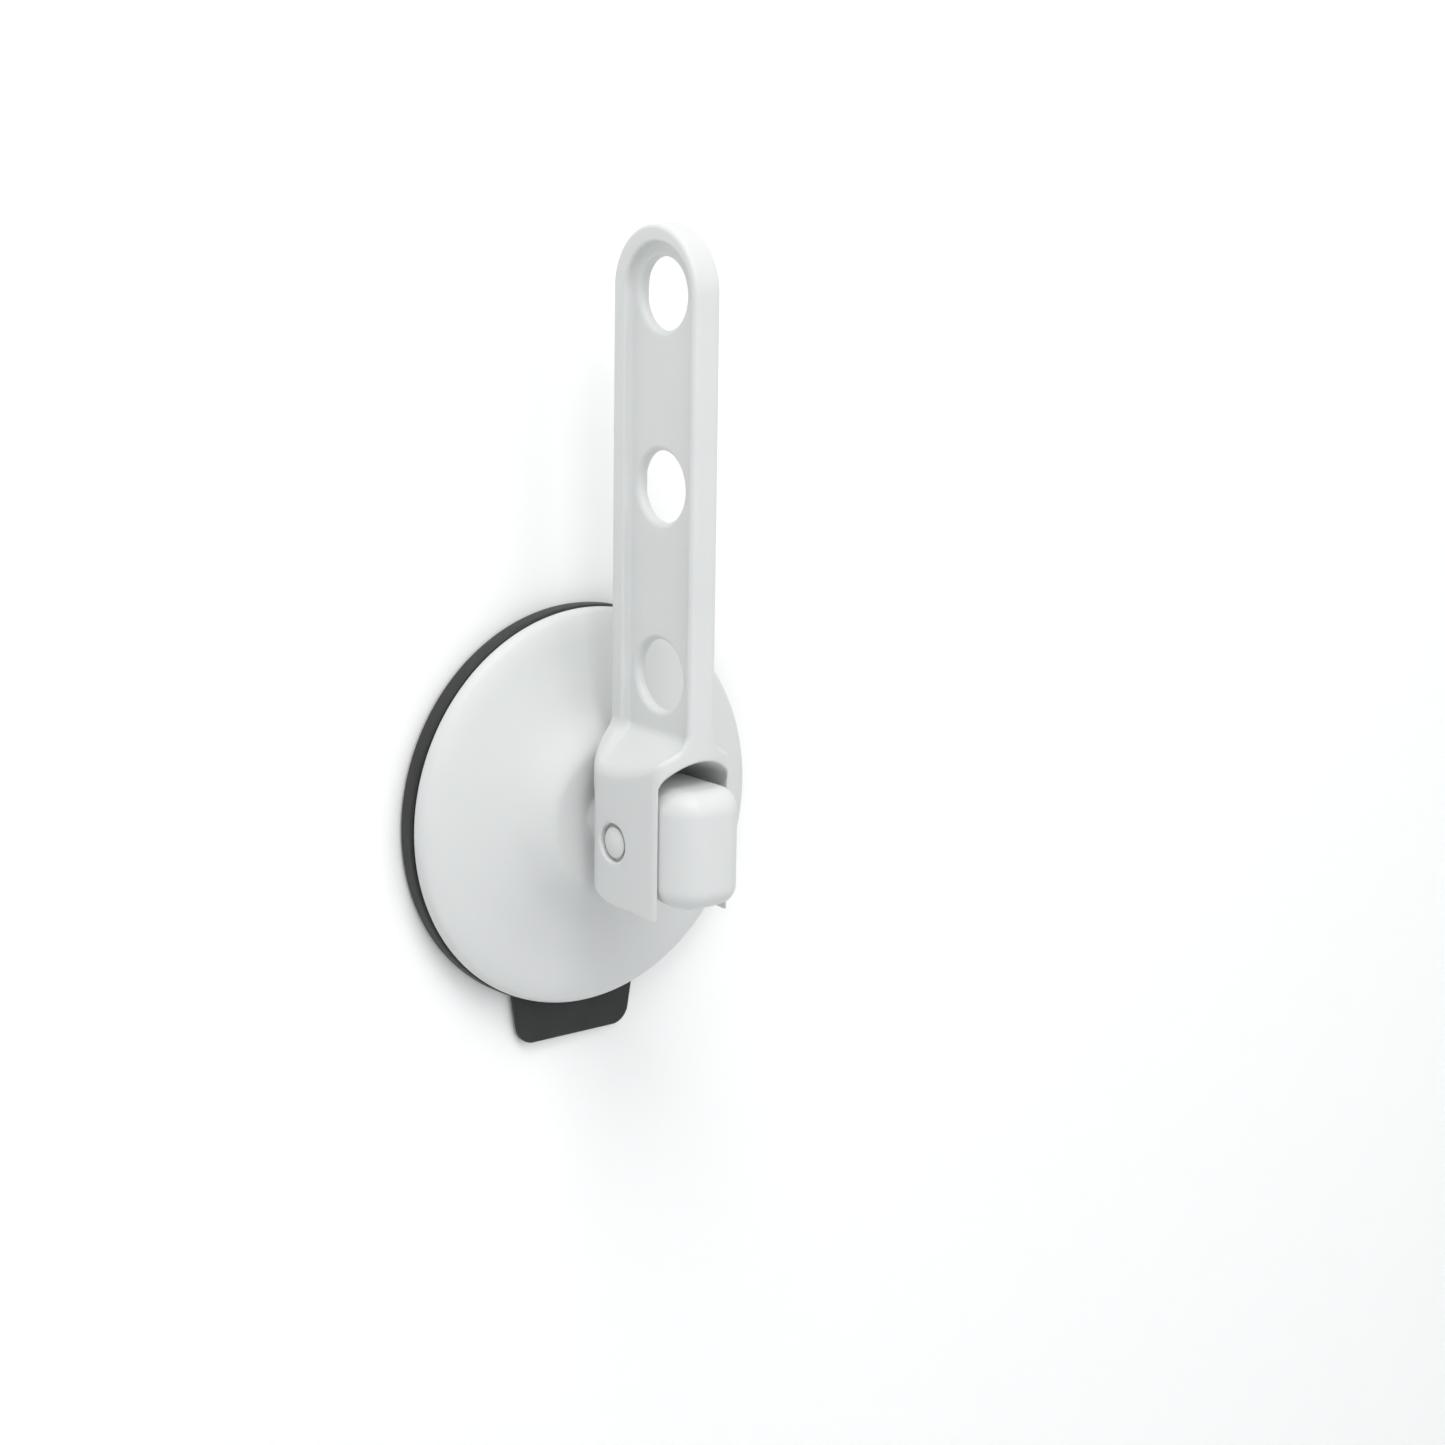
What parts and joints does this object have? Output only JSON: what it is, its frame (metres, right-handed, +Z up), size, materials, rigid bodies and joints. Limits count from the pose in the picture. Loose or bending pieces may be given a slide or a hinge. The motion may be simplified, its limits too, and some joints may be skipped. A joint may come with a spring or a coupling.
{
  "type": "suction hanging arm",
  "caption": "Fold-out hanging arm with hook holes on a domed suction disc: the arm's fork turns on a sprung draw stem and holds a rounded release trigger.",
  "frame": {"origin": "on the wall at the centre of the suction disc, on the pad's flat back", "axes": "+Z up along the stored arm, +Y into the wall, -Y out into the room, +X to the right when facing the wall"},
  "size_m": [0.1108, 0.0642, 0.2255],
  "materials": {
    "white_plastic": "satin moulded, cool light grey-white",
    "grey_plastic": "satin moulded, light grey",
    "pad_rubber": "matte charcoal",
    "acetal": "natural acetal",
    "plated_steel": "zinc plated",
    "spring_steel": "drawn wire",
    "zinc": "die-cast zinc"
  },
  "bodies": {
    "base": {"suction_pad": "pad_rubber", "cover_shell": "white_plastic", "guide_bush": "acetal", "return_spring": "spring_steel"},
    "stem": {"stem_bolt": "plated_steel", "spring_seat": "plated_steel", "crosshead": "zinc", "roll_pin": "spring_steel", "pivot_pin": "plated_steel", "pin_cap_left": "grey_plastic", "pin_cap_right": "grey_plastic", "spacer_left": "acetal", "spacer_right": "acetal"},
    "arm": {"arm": "white_plastic"},
    "trigger": {"trigger": "white_plastic", "trigger_spring": "spring_steel"}
  },
  "joints": [
    {"name": "stem_slide", "type": "slide", "parent": "base", "child": "stem", "axis": [0, -1, 0], "range_m": [0, 0.0026], "deforming": ["return_spring", "suction_pad"]},
    {"name": "arm_fold", "type": "hinge", "parent": "stem", "child": "arm", "pos_m": [0, -0.0354, -0.0023], "axis": [1, 0, 0], "range_deg": [0, 90]},
    {"name": "trigger_press", "type": "hinge", "parent": "arm", "child": "trigger", "pos_m": [0, -0.0354, -0.0023], "axis": [1, 0, 0], "range_deg": [-12, 0], "stiffness_Nm_per_rad": 0.15, "springref_deg": 8.59, "deforming": ["trigger_spring"]}
  ],
  "couplings": [
    {"joint": "stem_slide", "follows": "arm_fold", "m_per_rad": 0.001655}
  ]
}
